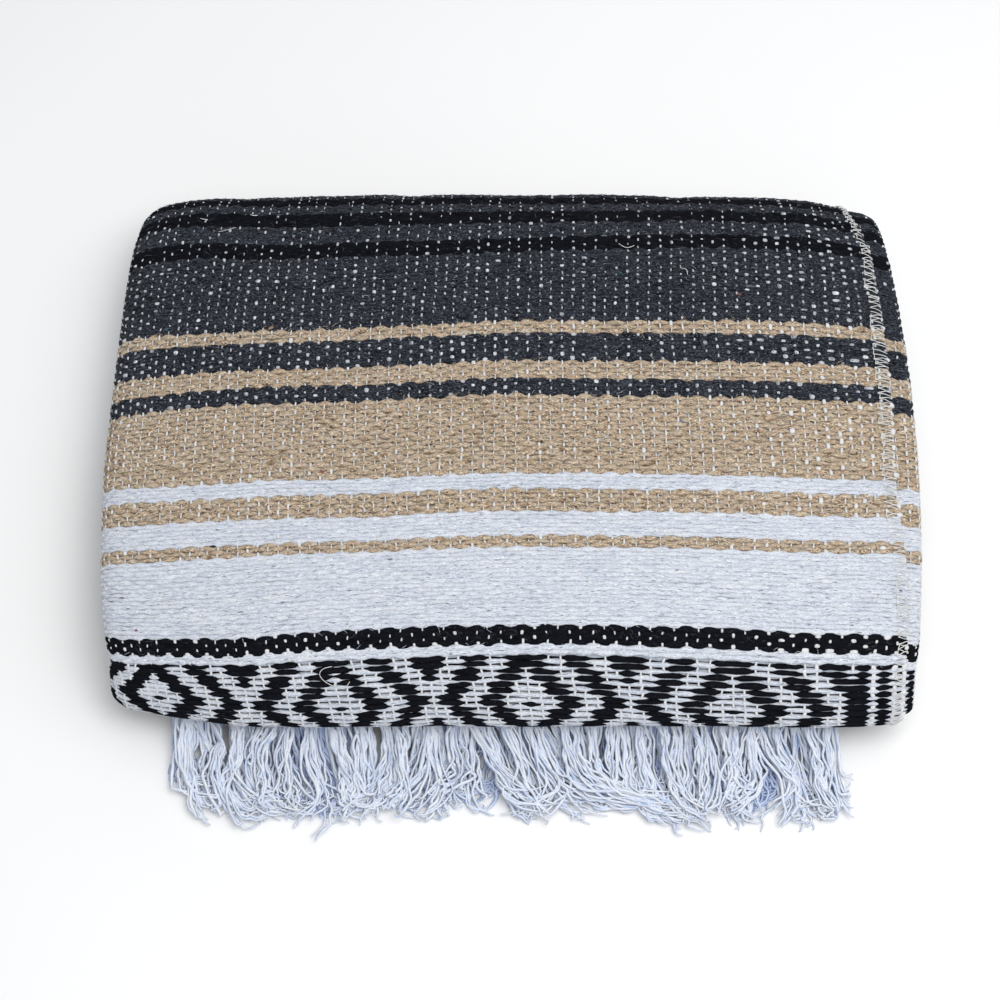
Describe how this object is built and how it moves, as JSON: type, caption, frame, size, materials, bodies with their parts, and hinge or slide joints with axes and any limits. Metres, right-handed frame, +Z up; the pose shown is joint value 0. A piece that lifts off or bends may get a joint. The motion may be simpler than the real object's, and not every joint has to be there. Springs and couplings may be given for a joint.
{
  "type": "folded mexican serape blanket",
  "caption": "Handwoven striped cotton blanket folded into a flat pack, with a band of small woven diamonds at its front fold and knotless white fringe lying out in front.",
  "frame": {"origin": "centre of the whole object's footprint, fringe included, on the surface that it lies on", "axes": "+X across the pack to the right, along the stripes; +Y from the fringe to the back fold; +Z up"},
  "size_m": [0.427, 0.367, 0.0701],
  "materials": {
    "outer_weave": "matt plain weave of thick yarn in cross stripes of charcoal, black, tan and bluish white",
    "under_weave": "matt plain weave, the same stripes",
    "inner_weave": "matt plain weave, the same stripes",
    "fringe_yarn": "matt loose twisted cotton yarn"
  },
  "bodies": {
    "root": {"outer_cloth": "outer_weave", "under_fold": "under_weave", "folded_layers": "inner_weave", "fringe": "fringe_yarn"}
  },
  "joints": []
}
